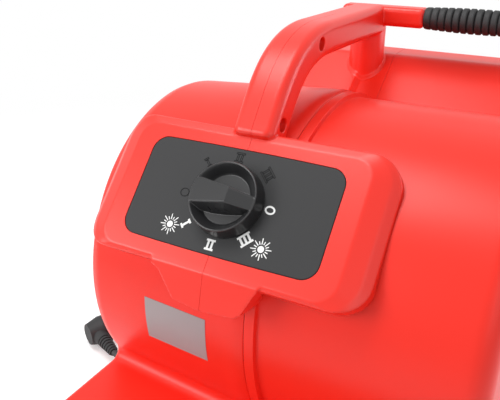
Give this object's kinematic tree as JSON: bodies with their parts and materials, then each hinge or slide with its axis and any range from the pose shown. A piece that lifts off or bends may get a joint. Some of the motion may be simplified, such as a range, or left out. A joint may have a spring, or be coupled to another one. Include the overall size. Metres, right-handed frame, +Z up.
{
  "type": "pet dryer",
  "caption": "Centrifugal pet dryer with a drum-shaped moulded housing, a low wide air outlet, an arched carrying handle and a rotary switch.",
  "frame": {"origin": "middle of the base outline on the floor plane under the rubber feet, without the cord", "axes": "+Z up, air outlet towards -Y, fan axis along X with the mouldings' left half towards -X"},
  "size_m": [0.5025, 0.6717, 0.4251],
  "materials": {
    "red_housing": "satin moulded polypropylene, faint moulded texture",
    "red_handle": "satin moulded polypropylene, a little smoother than the shells",
    "plate": "fine spark-textured dark grey",
    "label": "satin silver film, bare",
    "black_plastic": "moulded black",
    "knob": "satin black",
    "grip_rubber": "ribbed soft rubber",
    "rubber": "moulded rubber",
    "cord": "smooth rubber sheath",
    "steel": "zinc plated",
    "aluminium": "die cast",
    "copper": "enamelled copper windings on a laminated core",
    "pale_plastic": "pale moulded plastic",
    "insulator": "pressed mica board"
  },
  "bodies": {
    "housing": {"left_shell": "red_housing", "right_shell": "red_housing", "handle_left": "red_handle", "handle_right": "red_handle", "right_post": "red_handle", "control_plate": "plate", "label": "label", "rotary_switch": "black_plastic", "switch_nut": "steel", "grip_sleeve": "grip_rubber", "grip_tube": "steel", "post_screws": "steel", "handle_screws": "steel", "left_intake_grille": "black_plastic", "right_intake_grille": "black_plastic", "outlet_grille": "black_plastic", "motor_stator": "copper", "motor_case": "aluminium", "motor_bearings": "steel", "motor_bracket": "steel", "motor_mounts": "rubber", "capacitor": "pale_plastic", "heater_frame": "insulator", "heater_tubes": "steel", "thermal_cutout": "pale_plastic", "terminal_block": "pale_plastic", "rubber_feet": "rubber", "foot_screws": "steel", "shell_screws": "steel", "strain_relief": "rubber", "cord_lead": "cord", "cord_coil": "cord", "cord_tail": "cord", "plug": "rubber", "plug_pins": "steel"},
    "dial": {"knob": "knob", "switch_spindle": "steel"},
    "fan": {"impeller": "black_plastic", "impeller_hub": "aluminium", "motor_shaft": "steel", "motor_rotor": "steel"}
  },
  "joints": [
    {"name": "dial_turn", "type": "hinge", "parent": "housing", "child": "dial", "pos_m": [-0.035, -0.12294, 0.30612], "axis": [0, -0.742, 0.6704], "range_deg": [-135, 0]},
    {"name": "fan_spin", "type": "hinge", "parent": "housing", "child": "fan", "pos_m": [-0.035, 0.0155, 0.196], "axis": [1, 0, 0], "continuous": true}
  ]
}
